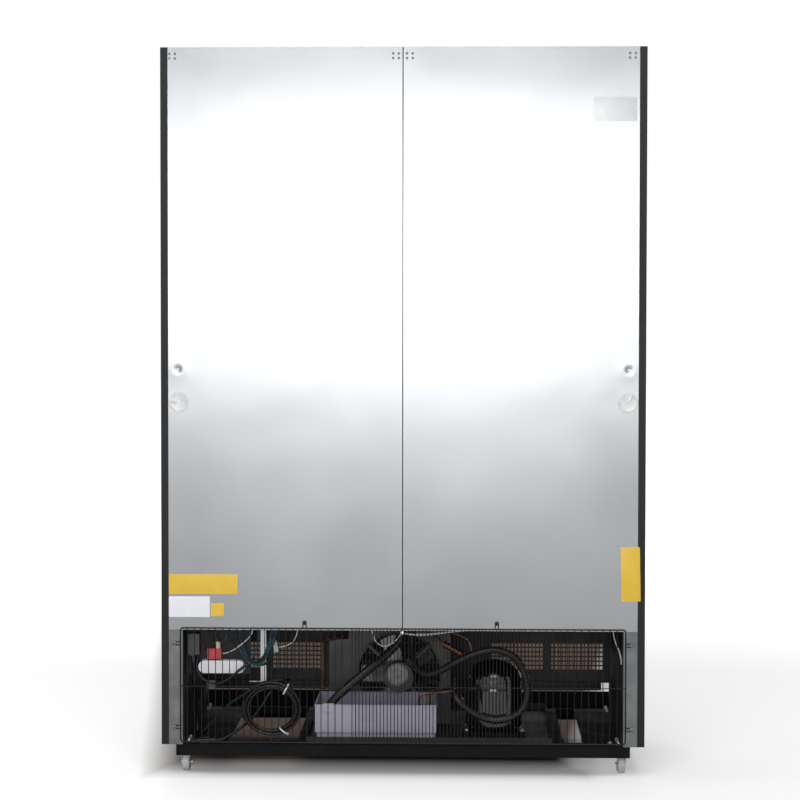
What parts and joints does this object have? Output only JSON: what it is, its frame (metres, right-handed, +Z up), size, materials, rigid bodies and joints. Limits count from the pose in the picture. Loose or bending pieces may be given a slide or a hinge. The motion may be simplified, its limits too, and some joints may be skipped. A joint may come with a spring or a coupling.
{
  "type": "display freezer",
  "caption": "Upright two-door glass merchandiser freezer on castors, with its condensing unit behind a wire guard at the rear of the base.",
  "frame": {"origin": "on the floor under the castors, at the middle of the width and of the depth over the door grips and the rear screws", "axes": "+Z up, -Y towards the doors, +Y towards the rear guard, +X to the right as seen from the front"},
  "size_m": [1.37, 0.7448, 2.068],
  "materials": {
    "black_steel": "satin black powder coat",
    "galvanised": "galvanised sheet, matt, cloudy",
    "foam": "rigid polyurethane foam",
    "liner": "white enamel",
    "grey_post": "plated grey steel",
    "lining": "dark grey sheet",
    "kick": "dark painted sheet, punched",
    "lens": "white translucent sheet",
    "wire_white": "white coated wire",
    "zinc": "bright zinc plate",
    "light": "diffuser",
    "fins": "bare aluminium fins",
    "white_plastic": "white moulded plastic",
    "black_plastic": "black moulded plastic",
    "compressor": "gloss black enamel",
    "rubber": "matt rubber",
    "condenser": "dark painted fins",
    "motor": "dark enamel",
    "blades": "plain aluminium blades",
    "copper": "drawn copper",
    "modules": "moulded housings in white, red, cream and black",
    "wires": "insulated wires",
    "cord": "matt black sheath",
    "guard": "black coated wire",
    "bright": "bright zinc",
    "cap": "pale grey plastic",
    "wheel": "grey nylon",
    "glass": "clear heated glass"
  },
  "bodies": {
    "cabinet": {"side_panel_left": "black_steel", "side_panel_right": "black_steel", "back_panel_left": "galvanised", "back_panel_right": "galvanised", "top_panel": "black_steel", "insulation": "foam", "inner_liner": "liner", "rear_corner_posts": "grey_post", "compartment_lining": "lining", "base_frame": "black_steel", "kick_plate": "kick", "door_surround": "black_steel", "canopy_housing": "black_steel", "canopy_lens": "lens", "wire_shelves": "wire_white", "shelf_uprights": "zinc", "led_strips": "light", "evaporator_coil": "fins", "evaporator_cover": "liner", "unit_tray": "galvanised", "compressor": "compressor", "compressor_mounts": "rubber", "condenser": "condenser", "fan_shroud": "motor", "fan_motor": "motor", "refrigerant_pipes": "copper", "suction_line": "rubber", "drain_hose": "rubber", "evaporation_box": "white_plastic", "control_bracket": "zinc", "control_modules": "modules", "wire_loom": "wires", "power_cord": "cord", "power_cord_coil": "cord", "plug": "cord", "rear_guard": "guard", "rear_screws": "bright", "foam_caps": "cap", "hinge_brackets": "black_steel", "castor_plates": "zinc", "controller": "black_plastic"},
    "door_left": {"door_frame_left": "black_plastic", "door_glass_left": "glass", "door_gasket_left": "rubber"},
    "door_right": {"door_frame_right": "black_plastic", "door_glass_right": "glass", "door_gasket_right": "rubber"},
    "fork_rear_left": {"castor_fork_rear_left": "zinc"},
    "fork_rear_right": {"castor_fork_rear_right": "zinc"},
    "fork_front_left": {"castor_fork_front_left": "zinc"},
    "fork_front_right": {"castor_fork_front_right": "zinc"},
    "wheel_rear_left": {"castor_wheel_rear_left": "wheel"},
    "wheel_rear_right": {"castor_wheel_rear_right": "wheel"},
    "wheel_front_left": {"castor_wheel_front_left": "wheel"},
    "wheel_front_right": {"castor_wheel_front_right": "wheel"},
    "brake_left": {"castor_brake_left": "zinc"},
    "brake_right": {"castor_brake_right": "zinc"},
    "condenser_fan": {"condenser_fan": "blades"},
    "evaporator_fan": {"evaporator_fan": "black_plastic"},
    "light_switch": {"light_switch": "black_plastic"}
  },
  "joints": [
    {"name": "door_left_hinge", "type": "hinge", "parent": "cabinet", "child": "door_left", "pos_m": [-0.67, -0.3204, 1.15], "axis": [0, 0, -1], "range_deg": [0, 110]},
    {"name": "door_right_hinge", "type": "hinge", "parent": "cabinet", "child": "door_right", "pos_m": [0.67, -0.3204, 1.15], "axis": [0, 0, 1], "range_deg": [0, 110]},
    {"name": "castor_rear_left_swivel", "type": "hinge", "parent": "cabinet", "child": "fork_rear_left", "pos_m": [-0.626, 0.2936, 0.053], "axis": [0, 0, 1], "continuous": true},
    {"name": "castor_rear_left_roll", "type": "hinge", "parent": "fork_rear_left", "child": "wheel_rear_left", "pos_m": [-0.626, 0.2736, 0.025], "axis": [1, 0, 0], "continuous": true},
    {"name": "castor_rear_right_swivel", "type": "hinge", "parent": "cabinet", "child": "fork_rear_right", "pos_m": [0.626, 0.2936, 0.053], "axis": [0, 0, 1], "continuous": true},
    {"name": "castor_rear_right_roll", "type": "hinge", "parent": "fork_rear_right", "child": "wheel_rear_right", "pos_m": [0.626, 0.2736, 0.025], "axis": [1, 0, 0], "continuous": true},
    {"name": "castor_front_left_swivel", "type": "hinge", "parent": "cabinet", "child": "fork_front_left", "pos_m": [-0.626, -0.1924, 0.053], "axis": [0, 0, 1], "continuous": true},
    {"name": "castor_front_left_roll", "type": "hinge", "parent": "fork_front_left", "child": "wheel_front_left", "pos_m": [-0.626, -0.2124, 0.025], "axis": [1, 0, 0], "continuous": true},
    {"name": "castor_front_right_swivel", "type": "hinge", "parent": "cabinet", "child": "fork_front_right", "pos_m": [0.626, -0.1924, 0.053], "axis": [0, 0, 1], "continuous": true},
    {"name": "castor_front_right_roll", "type": "hinge", "parent": "fork_front_right", "child": "wheel_front_right", "pos_m": [0.626, -0.2124, 0.025], "axis": [1, 0, 0], "continuous": true},
    {"name": "castor_brake_left_lever", "type": "hinge", "parent": "fork_rear_left", "child": "brake_left", "pos_m": [-0.6115, 0.2736, 0.025], "axis": [1, 0, 0], "range_deg": [0, 20]},
    {"name": "castor_brake_right_lever", "type": "hinge", "parent": "fork_rear_right", "child": "brake_right", "pos_m": [0.6115, 0.2736, 0.025], "axis": [1, 0, 0], "range_deg": [0, 20]},
    {"name": "condenser_fan_spin", "type": "hinge", "parent": "cabinet", "child": "condenser_fan", "pos_m": [0.018, 0.0536, 0.245], "axis": [0, 1, 0], "continuous": true},
    {"name": "evaporator_fan_spin", "type": "hinge", "parent": "cabinet", "child": "evaporator_fan", "pos_m": [0, 0.0676, 1.902], "axis": [0, 0, 1], "continuous": true},
    {"name": "light_switch_rocker", "type": "hinge", "parent": "cabinet", "child": "light_switch", "pos_m": [0.092, -0.2344, 0.343], "axis": [1, 0, 0], "range_deg": [-16, 0]}
  ]
}
